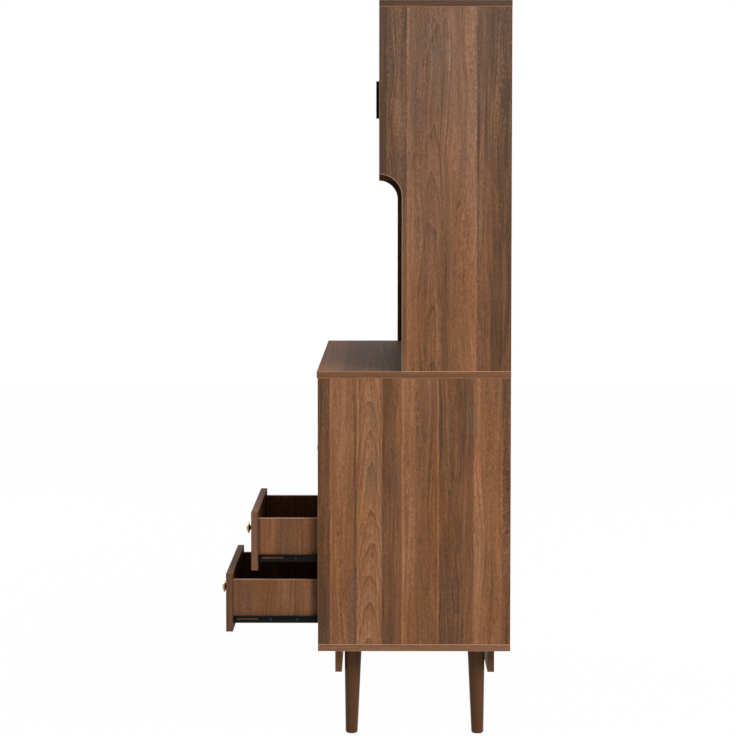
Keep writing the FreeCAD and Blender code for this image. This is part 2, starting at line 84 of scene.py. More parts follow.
def swatch(name, description, colour):
    """A colour setting, with its default as an sRGB hex value."""
    return bpy.props.FloatVectorProperty(name=name, description=description, subtype="COLOR",
                                         min=0, max=1, default=linear(colour))


class FinishSettings(bpy.types.PropertyGroup):
    """Colours of the boards, the legs and the metal."""

    walnut_deep: swatch("Walnut, deep", "Darkest heartwood of the printed walnut", "#493120")
    walnut_dark: swatch("Walnut, dark", "Dark planks of the printed walnut", "#69462e")
    walnut_mid: swatch("Walnut, middle", "Middle planks of the printed walnut", "#7e5437")
    walnut_light: swatch("Walnut, light", "Light reddish planks of the printed walnut", "#946647")
    walnut_pale: swatch("Walnut, pale", "Palest streaks of the printed walnut", "#ae7b59")
    walnut_grey: swatch("Walnut, grey", "Greyish clouds in the printed walnut", "#6a5547")
    # Both arris colours are pale lines drawn on the arrises, a painted highlight.
    arris: swatch("Arris", "Trimmed edge of the banding, where its core shows", "#bb9272")
    cut_arris: swatch("Cut-out arris", "Arris of the sawn cut-outs, trimmed to the pale core",
                      "#eac8a8")
    leg: swatch("Leg stain", "Lighter streaks of the stained legs", "#624027")
    leg_dark: swatch("Leg stain, dark", "Darker streaks of the stained legs", "#3c2516")
    hardboard: swatch("Hardboard", "Raw brown face of the backs and drawer floors", "#7a5a40")
    brass: swatch("Brass", "Polished brass of the knobs", "#b8a478")
    steel: swatch("Zinc plate", "Zinc-plated steel of clips, nails and knob screws", "#b9bcbe")
    black: swatch("Black", "Black coating of the pulls and runners", "#0d0c0b")


class FittingSettings(bpy.types.PropertyGroup):
    """Sizes of the small fittings that go on the boards."""

    knob_bead: bpy.props.FloatProperty(
        name="Knob bead", description="Radius of the bead at the rim of a knob",
        unit="LENGTH", min=0.2 * MM, max=2 * MM, default=0.6 * MM)
    screw_head: bpy.props.FloatProperty(
        name="Screw head", description="Diameter of the runner screws' pan heads",
        unit="LENGTH", min=4 * MM, max=9 * MM, default=6 * MM)
    screw_rise: bpy.props.FloatProperty(
        name="Screw rise", description="How far a pan head stands out",
        unit="LENGTH", min=0.5 * MM, max=3 * MM, default=1.5 * MM)
    first_screw: bpy.props.FloatProperty(
        name="First screw", description="First runner screw, from the front end of the steel",
        unit="LENGTH", min=60 * MM, max=120 * MM, default=83 * MM)
    screw_pitch: bpy.props.FloatProperty(
        name="Screw pitch", description="Distance from one runner screw to the next",
        unit="LENGTH", min=30 * MM, max=120 * MM, default=59 * MM)
    nail_pitch: bpy.props.FloatProperty(
        name="Nail pitch", description="Distance between the nails of the backs",
        unit="LENGTH", min=60 * MM, max=250 * MM, default=130 * MM)
    nail_rise: bpy.props.FloatProperty(
        name="Nail rise", description="How far a nail's head stands out of the hardboard",
        unit="LENGTH", min=0.1 * MM, max=1 * MM, default=0.4 * MM)


class StageSettings(bpy.types.PropertyGroup):
    """The floor, the lights and the camera."""

    key_power: bpy.props.FloatProperty(
        name="Key light", description="Power of the large light at the right and behind",
        unit="POWER", min=0, max=2000, default=215)
    front_power: bpy.props.FloatProperty(
        name="Front fill", description="Power of the soft light in front at the left",
        unit="POWER", min=0, max=2000, default=145)
    back_power: bpy.props.FloatProperty(
        name="Back fill", description="Power of the soft light behind at the left",
        unit="POWER", min=0, max=2000, default=90)
    ambient: bpy.props.FloatProperty(
        name="Ambient", description="Strength of the even light of the room",
        min=0, max=2, default=0.16)
    lens: bpy.props.FloatProperty(
        name="Lens", description="Focal length on a sensor 36 mm wide, in millimetres",
        min=20, max=300, default=103.62)
    camera_at: bpy.props.FloatVectorProperty(
        name="Camera place", description="Where the camera stands",
        subtype="TRANSLATION", unit="LENGTH", default=(5.1847, 0.0352, 1.1760))
    camera_pitch: bpy.props.FloatProperty(
        name="Camera pitch", description="How far the camera looks down",
        subtype="ANGLE", default=math.radians(3.216))
    camera_yaw: bpy.props.FloatProperty(
        name="Camera yaw", description="How far the camera turns towards the front",
        subtype="ANGLE", default=math.radians(0.290))
    rise: bpy.props.FloatProperty(
        name="Frame shift", description="Vertical shift of the lens, as a share of the frame",
        min=-0.2, max=0.2, default=LENS_SHIFT / PICTURE_HEIGHT)


def settings():
    """The three groups of settings of this scene."""
    scene = bpy.context.scene
    return scene.dresser_finish, scene.dresser_fittings, scene.dresser_stage


# Node trees, with short names for the kinds of node used most

MATH = "ShaderNodeMath"
MIX = "ShaderNodeMix"
RANGE = "ShaderNodeMapRange"


def plug(tree, node, inputs):
    """Links or sets a node's inputs, by name or in the order in which the node shows them.

    A node among the values stands for the first output that it shows.
    """
    if isinstance(inputs, dict):
        pairs = [(node.inputs[name], value) for name, value in inputs.items()]
    else:
        pairs = zip([socket for socket in node.inputs if socket.enabled], inputs)
    for socket, value in pairs:
        if isinstance(value, bpy.types.Node):
            value = next(output for output in value.outputs if output.enabled)
        if isinstance(value, bpy.types.NodeSocket):
            tree.links.new(value, socket)
        else:
            socket.default_value = value


def add(tree, kind, inputs=(), **values):
    """One shader node with its settings, and its inputs linked or set."""
    node = tree.nodes.new(kind)
    for name, value in values.items():
        setattr(node, name, value)
    plug(tree, node, inputs)
    return node


def emptied_tree(owner):
    """The node tree of a new material or world, with nothing in it."""
    owner.use_nodes = True
    owner.node_tree.nodes.clear()
    return owner.node_tree


def new_finish(name):
    """A new material, its node tree, its principled shader and its coordinates."""
    material = bpy.data.materials.new(name)
    tree = emptied_tree(material)
    shader = add(tree, "ShaderNodeBsdfPrincipled")
    add(tree, "ShaderNodeOutputMaterial", {"Surface": shader})
    return material, tree, shader, add(tree, "ShaderNodeTexCoord").outputs


def coat(node, material):
    """Gives a CAD node its finish."""
    shown = NODES[node]
    if not shown.material_slots:
        shown.data.materials.append(material)
    for place in shown.material_slots:
        place.material = material


def opaque(colour):
    """Red, green and blue with an alpha of one."""
    return (*colour, 1.0)


# Printed walnut. Each plank is its width in millimetres, its tone from dark (0) to pale (1) at
# its left and at its right, and its figure: 0.5 is straight grain, more is arches that point up
# the grain, less is arches that point down. The narrow ones are streaks of sapwood.

BASE_PLANKS = (
    (29, 0.12, 0.18, 0.50), (3, 0.70, 0.66, 0.50), (32, 0.48, 0.54, 0.53),
    (17, 0.46, 0.50, 0.42), (7, 0.30, 0.26, 0.50), (56.5, 0.72, 0.64, 0.96),
    (27, 0.22, 0.32, 0.46), (15.5, 0.42, 0.34, 0.50), (4, 0.74, 0.66, 0.50),
    (26, 0.56, 0.52, 0.55), (48, 0.37, 0.39, 0.38), (4, 0.62, 0.50, 0.50),
    (76, 0.20, 0.34, 0.34), (4, 0.58, 0.50, 0.50), (20, 0.56, 0.55, 0.50),
    (39, 0.46, 0.50, 0.58), (17, 0.28, 0.22, 0.50))
HUTCH_PLANKS = (
    (18, 0.00, 0.00, 0.50), (44.6, 0.18, 0.28, 0.38), (9, 0.52, 0.44, 0.50),
    (28.4, 0.40, 0.36, 0.42), (39, 0.35, 0.39, 0.74), (13, 0.28, 0.34, 0.50),
    (42, 0.38, 0.42, 0.53), (22, 0.45, 0.50, 0.50), (21, 0.20, 0.26, 0.44),
    (12, 0.20, 0.14, 0.50), (41, 0.10, 0.08, 0.38))
TOP_PLANKS = (
    (60, 0.48, 0.42, 0.50), (50, 0.16, 0.14, 0.50), (70, 0.12, 0.08, 0.50),
    (40, 0.08, 0.10, 0.50), (75, 0.12, 0.14, 0.50), (55, 0.10, 0.12, 0.50),
    (77, 0.12, 0.14, 0.50))
DRAWER_PLANKS = (
    (29, 0.34, 0.34, 0.50), (6, 0.44, 0.44, 0.50), (5, 0.34, 0.34, 0.50),
    (8, 0.56, 0.56, 0.50), (7, 0.44, 0.46, 0.50), (34, 0.46, 0.40, 0.42),
    (62, 0.36, 0.42, 0.66), (41, 0.36, 0.32, 0.50), (70, 0.28, 0.34, 0.40),
    (48, 0.32, 0.38, 0.50), (22, 0.26, 0.46, 0.50), (17, 0.52, 0.50, 0.50),
    (21, 0.40, 0.34, 0.58))

SAPWOOD = 5                 # a plank narrower than this is one streak, in millimetres
JOINT = 1.2                 # blur of the joint between two planks, each side, in millimetres
BEND = 45 * MM              # how far the grain bends aside
RAGGED = 4 * MM             # how far a joint is ragged
PORE_DEPTH = 0.2 * MM

RING_WIDTH = 22 * MM        # half width of an arch, one ring below its head
RINGS_PER_METRE = 15.0      # arches along a plank
ARCH = 2.5                  # power of an arch's curve
RING_BEND = 3.4             # how many rings aside the grain bends
RING_FRAY = 0.45            # how much of a ring its line is ragged
LATE_WOOD = 3.5             # power that narrows the dark line of a ring
THIN_LINE = 0.35            # strength of the two thin lines between the dark ones
RING_TONE = (-0.55, -0.03)  # what a dark line adds to the tone, by the slant and always

# Noises of the print: width across the grain and length along it of a feature in millimetres,
# detail, seed. Fine grain, specks, flecks and pores are drawn twice as coarse as they are, so
# that they show.
WANDER = (60, 330, 1.0, 41.0)       # slow bends of the grain
SWAY = (9, 60, 1.0, 31.0)           # raggedness of joints and rings
STREAKS = (6.5, 520, 3.0, 3.0)      # long streaks along the grain
FINE = (2.4, 110, 2.0, 11.0)        # fine grain
SPECKS = (2.0, 5.5, 1.0, 71.0)      # short specks of the fibres
CLOUDS = (38, 240, 2.0, 23.0)       # soft changes of tone
PORES = (1.9, 15, 1.0, 47.0)        # open pores
CALM = (26, 600, 1.0, 97.0)         # stretches that are calm or full of lines
BANDS = (14, 500, 1.0, 113.0)       # bands that have few specks or many
KNOTS = (5, 26, 0.0, 59.0)          # pin knots
FLECKS = (1.5, 7, 0.0, 67.0)        # pale flecks in the pale wood
BLUSH = (9, 130, 2.0, 83.0)         # redder and yellower streaks
NOISE_SPAN = (0.36, 0.64)           # most of a noise's values

# The tone at which each colour of the print is pure
TONES = (("walnut_deep", 0.02), ("walnut_dark", 0.30), ("walnut_mid", 0.52),
         ("walnut_light", 0.74), ("walnut_pale", 0.98))

# What a face is by the part of its direction along an axis, the first three each as the middle
# of a range and half its width
BROKEN = (0.60, 0.35)       # of the thickness: an arris, between the edge and the face
UP_OR_DOWN = (0.65, 0.30)   # of Z, either way
SIDE_OR_DOWN = (-0.35, 0.65)        # of Z
EDGE = 0.25                 # of the thickness, less than this: the board's edge
END = 0.7                   # of the grain, more than this: the board's end
AHEAD = 0.3                 # of Y, less than this: any but a back edge
TO_BACK = (0.5, 0.9)        # of Y: from a side face to one that is wholly a back, over which the painted shade of the backs comes in

GLOSS = 0.12                # specular level of the print's dull lacquer
NO_SHEEN = 9.0                  # a height above all boards, for those without the painted sheen
SHEEN_RISE = 0.85              # height over which the painted sheen greys the print, in metres
UNCUT = (-1.0, 0.0)         # the cut-out of a board that has none


def fill_ramp(node, stops):
    """Gives a colour ramp its stops, each a position and a colour."""
    elements = node.color_ramp.elements
    elements.remove(elements[1])
    elements[0].position, elements[0].color = stops[0]
    for position, colour in stops[1:]:
        elements.new(position).color = colour


def plank_layout(tree, position, planks):
    """Tone, centre and figure of the plank at a position from 0 to 1 across the print."""
    total = sum(plank[0] for plank in planks)
    tones, shapes = [], []
    edge = 0.0
    for width, left, right, figure in planks:
        if width < SAPWOOD:
            tones.append((edge + width / 2, left))
        else:
            tones += [(edge + JOINT, left), (edge + width - JOINT, right)]
        shapes.append((edge / total, ((edge + width / 2) / total, figure, 0, 1)))
        edge += width
    tone = add(tree, "ShaderNodeValToRGB", (position,))
    fill_ramp(tone, [(at / total, (level, level, level, 1)) for at, level in tones])
    shape = add(tree, "ShaderNodeValToRGB", (position,))
    shape.color_ramp.interpolation = "CONSTANT"
    fill_ramp(shape, shapes)
    split = add(tree, "ShaderNodeSeparateColor", (shape,))
    return tone, split.outputs[0], split.outputs[1]


def stretched_noise(tree, place, width, length, detail, seed):
    """Noise drawn out along the grain, with features as wide and long as given in millimetres."""
    across, along = 1 / (width * MM), 1 / (length * MM)
    scale = add(tree, "ShaderNodeVectorMath", (place, (across, across, along)),
                operation="MULTIPLY")
    shift = add(tree, "ShaderNodeVectorMath", (scale, (seed, seed * 0.7, seed * 1.3)),
                operation="ADD")
    return add(tree, "ShaderNodeTexNoise",
               {"Vector": shift, "Scale": 1.0, "Detail": detail, "Roughness": 0.6})


def weighted_sum(tree, start, terms):
    """start plus each value, less its middle of one half, times its weight."""
    total = start
    for value, weight in terms:
        centred = add(tree, MATH, (value, 0.5), operation="SUBTRACT")
        total = add(tree, MATH, (centred, weight, total), operation="MULTIPLY_ADD")
    return total


def grain_place(tree, where, thickness, grain, offset, glinting):
    """A point's place along the grain, whether it is a painted-highlight arris or edge, and where
    it faces.

    The banding's grain runs along each edge, so the end faces turn theirs. The last argument says
    which arrises get a pale line, a painted highlight: "level" for those that face up or down,
    "side" for all that don't face up.
    """
    across = ({"X", "Y", "Z"} - {thickness, grain}).pop()
    at = add(tree, "ShaderNodeSeparateXYZ", (where["Object"],)).outputs
    facing = add(tree, "ShaderNodeSeparateXYZ", (where["Normal"],)).outputs
    along = {axis: add(tree, MATH, (facing[axis],), operation="ABSOLUTE") for axis in "XYZ"}
    on_end = add(tree, MATH, (along[grain], END), operation="GREATER_THAN")
    face = add(tree, "ShaderNodeCombineXYZ", (at[across], at[thickness], at[grain]))
    end = add(tree, "ShaderNodeCombineXYZ", (at[thickness], at[grain], at[across]))
    mixed = add(tree, MIX, (on_end, face, end), data_type="VECTOR")
    place = add(tree, "ShaderNodeVectorMath", (mixed, offset), operation="ADD")
    broken = add(tree, MATH, (along[thickness], *BROKEN), operation="COMPARE")
    if glinting == "level":
        shown = add(tree, MATH, (along["Z"], *UP_OR_DOWN), operation="COMPARE")
    else:
        shown = add(tree, MATH, (facing["Z"], *SIDE_OR_DOWN), operation="COMPARE")
    arris = add(tree, MATH, (broken, shown), operation="MULTIPLY")
    edge = add(tree, MATH, (along[thickness], EDGE), operation="LESS_THAN")
    return place, arris, edge, facing


def growth_rings(tree, aside, period, figure, height, wander, sway):
    """Dark lines of growth rings that are cut at a slant, and how strongly a plank shows them.

    They are nested arches along the plank's middle line. aside is the distance from that line,
    as a share of the print's period.
    """
    spread = add(tree, MATH, (aside, period / RING_WIDTH), operation="MULTIPLY")
    steep = add(tree, MATH, (spread,), operation="ABSOLUTE")
    bow = add(tree, MATH, (steep, ARCH), operation="POWER")
    slant = add(tree, MATH, (figure, 0.5), operation="SUBTRACT")
    climb = add(tree, MATH, (slant, height), operation="MULTIPLY")
    rings = add(tree, MATH, (climb, 2 * RINGS_PER_METRE, bow), operation="MULTIPLY_ADD")
    swayed = add(tree, MATH, (wander, RING_BEND, rings), operation="MULTIPLY_ADD")
    frayed = add(tree, MATH, (sway, RING_FRAY, swayed), operation="MULTIPLY_ADD")
    ring = add(tree, MATH, (frayed,), operation="FRACT")
    late = add(tree, MATH, (ring, LATE_WOOD), operation="POWER")
    thirds = add(tree, MATH, (frayed, 3.0), operation="MULTIPLY")
    third = add(tree, MATH, (thirds,), operation="FRACT")
    lines = add(tree, MATH, (third, THIN_LINE, late), operation="MULTIPLY_ADD")
    strength = add(tree, MATH, (slant,), operation="ABSOLUTE")
    drawn = add(tree, MATH, (strength, *RING_TONE), operation="MULTIPLY_ADD")
    return lines, drawn


def walnut_tint(tree, level, bent, height, clouds, wander, edge, sheen_from):
    """Colour of the print where its tone is level, and its open pores.

    Grey clouds, pores, pin knots and pale flecks lie over the tone's own colour.
    """
    finish, _, _ = settings()
    colours = add(tree, "ShaderNodeValToRGB", (level,))
    fill_ramp(colours, [(tone, opaque(getattr(finish, name))) for name, tone in TONES])
    cloudy = add(tree, RANGE, (clouds, 0.40, 0.24, 0.0, 0.36))
    greyed = add(tree, MIX, (cloudy, colours, opaque(finish.walnut_grey)), data_type="RGBA")
    pores = stretched_noise(tree, bent, *PORES)
    open_pore = add(tree, RANGE, (pores, 0.60, 0.70, 0.0, 0.45))
    knots = stretched_noise(tree, bent, *KNOTS)
    pin_knot = add(tree, RANGE, (knots, 0.80, 0.86, 0.0, 0.75))
    dark = add(tree, MATH, (open_pore, pin_knot), operation="MAXIMUM")
    pored = add(tree, MIX, (dark, greyed, opaque(finish.walnut_deep)), data_type="RGBA")
    flecks = stretched_noise(tree, bent, *FLECKS)
    pale_fleck = add(tree, RANGE, (flecks, 0.56, 0.76, 0.0, 0.40))
    in_pale = add(tree, MATH, (pale_fleck, level), operation="MULTIPLY")
    flecked = add(tree, MIX, (in_pale, pored, opaque(finish.walnut_pale)), data_type="RGBA")

    # Higher up the print is less saturated and a touch greener, a painted sheen, and edges are
    # duller
    blush = stretched_noise(tree, bent, *BLUSH)
    sheen_dulled = add(tree, RANGE, (height, sheen_from, sheen_from + SHEEN_RISE, 1.0, 0.83))
    sheen_hue = add(tree, RANGE, (height, sheen_from + 0.30, sheen_from + SHEEN_RISE, 0.5, 0.503))
    duller = add(tree, MATH, (edge, -0.08, sheen_dulled), operation="MULTIPLY_ADD")
    heartwood = add(tree, "ShaderNodeHueSaturation",
                    {"Hue": weighted_sum(tree, sheen_hue, ((blush, 0.03),)),
                     "Saturation": weighted_sum(tree, duller, ((wander, 0.20),)),
                     "Color": flecked})
    return heartwood, open_pore


def walnut_print(tree, place, edge, planks, edge_tone, sheen_from=NO_SHEEN):
    """Colour of the print at a place along the grain, and its fine grain and open pores.

    Above a given height in metres, a painted sheen turns the print greyer.
    """
    period = sum(plank[0] for plank in planks) * MM
    part = add(tree, "ShaderNodeSeparateXYZ", (place,)).outputs
    wander = stretched_noise(tree, place, *WANDER)
    drift = add(tree, MATH, (wander, BEND, part["X"]), operation="MULTIPLY_ADD")
    bent = add(tree, "ShaderNodeCombineXYZ", (drift, part["Y"], part["Z"]))
    sway = stretched_noise(tree, place, *SWAY)
    ragged = add(tree, MATH, (sway, RAGGED, part["X"]), operation="MULTIPLY_ADD")
    turns = add(tree, MATH, (ragged, period), operation="DIVIDE")
    position = add(tree, MATH, (turns,), operation="FRACT")
    tone, centre, figure = plank_layout(tree, position, planks)
    aside = add(tree, MATH, (position, centre), operation="SUBTRACT")
    lines, drawn = growth_rings(tree, aside, period, figure, part["Z"], wander, sway)

    # Some stretches are calm and some are full of lines, and the specks come in bands
    streaks = stretched_noise(tree, bent, *STREAKS)
    fine = stretched_noise(tree, bent, *FINE)
    specks = stretched_noise(tree, bent, *SPECKS)
    clouds = stretched_noise(tree, place, *CLOUDS)
    calm = stretched_noise(tree, place, *CALM)
    bands = stretched_noise(tree, bent, *BANDS)
    much = add(tree, RANGE, (calm, *NOISE_SPAN, 0.40, 1.35))
    many = add(tree, RANGE, (bands, *NOISE_SPAN, 0.30, 1.45))
    grain = weighted_sum(tree, 0.0, ((streaks, 0.70), (fine, 0.44)))
    speckled = weighted_sum(tree, 0.0, ((specks, 0.50),))
    clouded = weighted_sum(tree, tone, ((clouds, 0.50),))
    grained = add(tree, MATH, (grain, much, clouded), operation="MULTIPLY_ADD")
    shade = add(tree, MATH, (speckled, many, grained), operation="MULTIPLY_ADD")
    shaded = add(tree, MATH, (lines, drawn, shade), operation="MULTIPLY_ADD")
    banding = weighted_sum(tree, edge_tone, ((streaks, 0.55), (fine, 0.40)))
    level = add(tree, MIX, (edge, shaded, banding))
    colour, pores = walnut_tint(tree, level, bent, part["Z"], clouds, wander, edge, sheen_from)
    return colour, fine, pores


def lacquer_print(tree, shader, colour, fine, pores, gloss):
    """The surface of the print: a dull lacquer with the pores pressed in."""
    rough = add(tree, RANGE, (fine, 0.0, 1.0, 0.50, 0.62))
    relief = add(tree, MATH, (pores, -1.0), operation="MULTIPLY")
    bump = add(tree, "ShaderNodeBump", {"Strength": 0.25, "Distance": PORE_DEPTH,
                                        "Height": relief})
    plug(tree, shader, {"Base Color": colour, "Roughness": rough, "Normal": bump,
                        "Specular IOR Level": gloss})


def walnut_laminate(node, thickness, grain, planks, offset, edge_tone, gloss=GLOSS, sheen_from=NO_SHEEN,
                    glinting="level", length=1.0, cut_out=UNCUT, painted_back_shade=0.0):
    """Finishes a board of particle board faced with melamine paper and banded on its edges.

    The paper is printed as walnut, in planks of several tones side by side. offset moves the
    print across, through and along the board, so that no two boards are alike, and a length
    above one draws it out along the grain. The banding is darker and its grain follows the edge.
    Where it is trimmed flush a pale line shows, and a paler one round the cut-out of an upright
    Its arrises get a pale line, a painted highlight, and a paler one round the cut-out of an
    upright board. cut_out is the height of its middle and half of how tall it is. The last
    argument is how much of the darkest walnut lies over the face to the back, a painted shade.
    """
    finish, _, _ = settings()
    material, tree, shader, where = new_finish(node + "_walnut")
    place, arris, edge, facing = grain_place(tree, where, thickness, grain, offset, glinting)
    drawn_out = add(tree, "ShaderNodeVectorMath", (place, (1.0, 1.0, 1.0 / length)),
                    operation="MULTIPLY")
    colour, fine, pores = walnut_print(tree, drawn_out, edge, planks, edge_tone, sheen_from)
    height = add(tree, "ShaderNodeSeparateXYZ", (place,)).outputs["Z"]
    middle, half = cut_out
    sawn = add(tree, MATH, (height, middle + offset[2], half), operation="COMPARE")
    ahead = add(tree, MATH, (facing["Y"], AHEAD), operation="LESS_THAN")
    cut = add(tree, MATH, (sawn, ahead), operation="MULTIPLY")
    # Pale lines on the arrises, paler round the cut-outs: a painted highlight.
    glint = add(tree, MIX, (cut, opaque(finish.arris), opaque(finish.cut_arris)), data_type="RGBA")
    lined = add(tree, MIX, (arris, colour, glint), data_type="RGBA")
    # The faces to the back are darkened with the darkest walnut, a painted shade.
    back_shade_share = add(tree, RANGE, (facing["Y"], *TO_BACK, 0.0, painted_back_shade))
    back_shaded = add(tree, MIX, (back_shade_share, lined, opaque(finish.walnut_deep)), data_type="RGBA")
    lacquer_print(tree, shader, back_shaded, fine, pores, gloss)
    coat(node, material)


def printed_hardboard(name, raw_way, thickness, grain, offset):
    """Hardboard with the walnut print on one face and raw brown fibre on the other.

    The raw face is smooth and slightly mottled, with pale and dark fibres.
    """
    finish, _, _ = settings()
    material, tree, shader, where = new_finish(name)
    place, _, edge, facing = grain_place(tree, where, thickness, grain, offset, "level")
    print_colour, fine, pores = walnut_print(tree, place, edge, BASE_PLANKS, 0.3)
    fibres = stretched_noise(tree, place, 1.2, 1.6, 4.0, 5.0)
    mottle = stretched_noise(tree, place, 45, 60, 3.0, 9.0)
    tint = weighted_sum(tree, 0.5, ((fibres, 0.9), (mottle, 0.5)))
    raw = add(tree, MIX, (tint, *around(finish.hardboard, 0.28)), data_type="RGBA")
    facing_raw = add(tree, MATH, (facing[thickness], float(raw_way)), operation="MULTIPLY")
    is_raw = add(tree, MATH, (facing_raw, -0.5), operation="GREATER_THAN")
    shown = add(tree, MIX, (is_raw, print_colour, raw), data_type="RGBA")
    lacquer_print(tree, shader, shown, fine, pores, 0.08)
    return material


# Solid finishes, each with the noises that break its colour and its shine

def around(colour, share):
    """A darker and a lighter version of a colour, by the same share of it."""
    return (opaque(c * (1 - share) for c in colour),
            opaque(min(1.0, c * (1 + share)) for c in colour))


def stained_leg():
    """Turned beech, stained walnut and sprayed with satin lacquer.

    Fine dark flecks run along the leg, and the lacquer gives a soft narrow highlight.
    """
    finish, _, _ = settings()
    material, tree, shader, where = new_finish("stained_leg")
    place = where["Object"]
    streaks = stretched_noise(tree, place, 3.5, 150, 3.0, 7.0)
    flecks = stretched_noise(tree, place, 0.9, 9, 2.0, 19.0)
    tint = weighted_sum(tree, 0.55, ((streaks, 1.1), (flecks, 0.5)))
    mixed = add(tree, MIX, (tint, opaque(finish.leg_dark), opaque(finish.leg)), data_type="RGBA")
    rough = add(tree, RANGE, (flecks, 0.0, 1.0, 0.40, 0.52))
    bump = add(tree, "ShaderNodeBump", {"Strength": 0.12, "Distance": 0.2 * MM, "Height": flecks})
    plug(tree, shader, {"Base Color": mixed, "Roughness": rough, "Normal": bump,
                        "Specular IOR Level": 0.10, "Coat Weight": 0.03, "Coat Roughness": 0.3})
    return material


def polished_brass():
    """Turned brass, polished and clear-lacquered.

    Fine marks blur its mirror a little, and small dark patches dull its colour, partly tarnish and
    partly painted dark reflection.
    """
    finish, _, _ = settings()
    material, tree, shader, where = new_finish("polished_brass")
    place = where["Object"]
    dark_patches = stretched_noise(tree, place, 5, 5, 3.0, 13.0)
    marks = stretched_noise(tree, place, 0.35, 0.35, 2.0, 17.0)
    # The darker brass of the patches is partly tarnish and partly painted dark reflection.
    tarnish_and_reflection = opaque(c * k for c, k in zip(finish.brass, (0.72, 0.64, 0.50)))
    mixed = add(tree, MIX, (dark_patches, tarnish_and_reflection, opaque(finish.brass)), data_type="RGBA")
    rough = add(tree, RANGE, (marks, 0.0, 1.0, 0.16, 0.30))
    plug(tree, shader, {"Base Color": mixed, "Roughness": rough, "Metallic": 1.0})
    return material


def coated(name, colour, rough_from, rough_to, grit, metallic=0.0, gloss=0.5):
    """A coated, plated or moulded surface, with a grit in millimetres that breaks up the light."""
    material, tree, shader, where = new_finish(name)
    place = where["Object"]
    grain = stretched_noise(tree, place, grit, grit, 3.0, 29.0)
    patches = stretched_noise(tree, place, 30, 30, 2.0, 37.0)
    tint = weighted_sum(tree, 0.5, ((grain, 0.6), (patches, 0.7)))
    mixed = add(tree, MIX, (tint, *around(colour, 0.2)), data_type="RGBA")
    rough = add(tree, RANGE, (grain, 0.0, 1.0, rough_from, rough_to))
    bump = add(tree, "ShaderNodeBump", {"Strength": 0.2, "Distance": 0.1 * MM, "Height": grain})
    plug(tree, shader, {"Base Color": mixed, "Roughness": rough, "Normal": bump,
                        "Metallic": metallic, "Specular IOR Level": gloss})
    return material


# Meshes

SAWN_EDGE = 0.3 * MM        # how far the edges of a back are broken
NAIL_INSET = 3.5 * MM       # from the edges of a back to its nails
NAIL_RIM = 1.9 * MM         # radius of a nail's head
NAIL_CROWN = 1.3 * MM       # radius of the flatter middle of it
KNOB_SCREW_HEAD = 8 * MM
KNOB_SCREW_RISE = 2.2 * MM
WEB = 1.2 * MM              # thickness of a drawer runner's steel
SCREW_LINE = 7.5 * MM       # height of the runner screws above the bottom of a drawer side
SCREWS = 5                  # on a drawer runner, at most
END_MARGIN = 20 * MM        # between the last screw and the back end of the steel
WELD = 0.01 * MM            # corners nearer than this are one
PULL_ROUND = 0.4 * MM
ROLLER_ROUND = 0.5 * MM


def mesh_of(form, name):
    """A mesh made from a form, which is then let go."""
    mesh = bpy.data.meshes.new(name)
    form.to_mesh(mesh)
    form.free()
    return mesh


def new_object(name, data):
    """A new object in the scene."""
    made = bpy.data.objects.new(name, data)
    bpy.context.scene.collection.objects.link(made)
    return made


def make_piece(name, form, material, body):
    """A new object from a form in its place, that rides on a body and has a finish."""
    piece = new_object(name, mesh_of(form, name))
    piece.data.materials.append(material)
    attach(piece, body)
    return piece


def stood(where, towards):
    """The transform that stands a form on a place, with its Z turned towards a direction."""
    turn = Vector(towards).to_track_quat("Z", "Y").to_matrix().to_4x4()
    return Matrix.Translation(where) @ turn


def turned(profile, segments):
    """A lathe form round Z, from its profile of (radius, height) points, with smooth faces."""
    form = bmesh.new()
    corners = [form.verts.new((radius, 0, height)) for radius, height in profile]
    edges = [form.edges.new(pair) for pair in zip(corners, corners[1:])]
    bmesh.ops.spin(form, geom=corners + edges, axis=(0, 0, 1), cent=(0, 0, 0),
                   angle=2 * math.pi, steps=segments)
    bmesh.ops.remove_doubles(form, verts=form.verts[:], dist=1e-6)
    bmesh.ops.recalc_face_normals(form, faces=form.faces[:])
    for face in form.faces:
        face.smooth = True
    return form


def arc(centre, radius, start, end, steps):
    """Points of (radius, height) on an arc, with its angles in degrees."""
    turn = [math.radians(start + (end - start) * k / steps) for k in range(steps + 1)]
    return [(centre[0] + radius * math.cos(a), centre[1] + radius * math.sin(a)) for a in turn]


def scattered(template, places):
    """One form of copies of a mesh, each stood on its place and turned to its direction."""
    joined = bmesh.new()
    for where, towards in places:
        earlier = len(joined.verts)
        joined.from_mesh(template)
        bmesh.ops.transform(joined, matrix=stood(where, towards), verts=joined.verts[earlier:])
    return joined


def pan_head(diameter, rise):
    """The mesh of a pan-head screw with a cross recess, standing on its seat."""
    radius, corner = diameter / 2, 0.4 * rise
    profile = [(0, 0), (radius, 0), *arc((radius - corner, 0.55 * rise), corner, 0, 55, 3),
               (0.55 * radius, 0.97 * rise), (0, rise)]
    screw = new_object("pan_head_form", mesh_of(turned(profile, 24), "pan_head"))
    recess = bmesh.new()
    wide, narrow = 0.62 * diameter, 0.16 * diameter
    for size in ((wide, narrow, rise, 1), (narrow, wide, rise, 1)):
        bmesh.ops.create_cube(recess, size=1.0,
                              matrix=Matrix.Translation((0, 0, rise)) @ Matrix.Diagonal(size))
    cutter = new_object("recess_form", mesh_of(recess, "recess"))
    cut = screw.modifiers.new("recess", "BOOLEAN")
    cut.operation = "DIFFERENCE"
    cut.use_self = True
    cut.object = cutter
    bpy.context.view_layer.update()
    graph = bpy.context.evaluated_depsgraph_get()
    made = bpy.data.meshes.new_from_object(screw.evaluated_get(graph))
    for form in (screw, cutter):
        bpy.data.objects.remove(form)
    return made


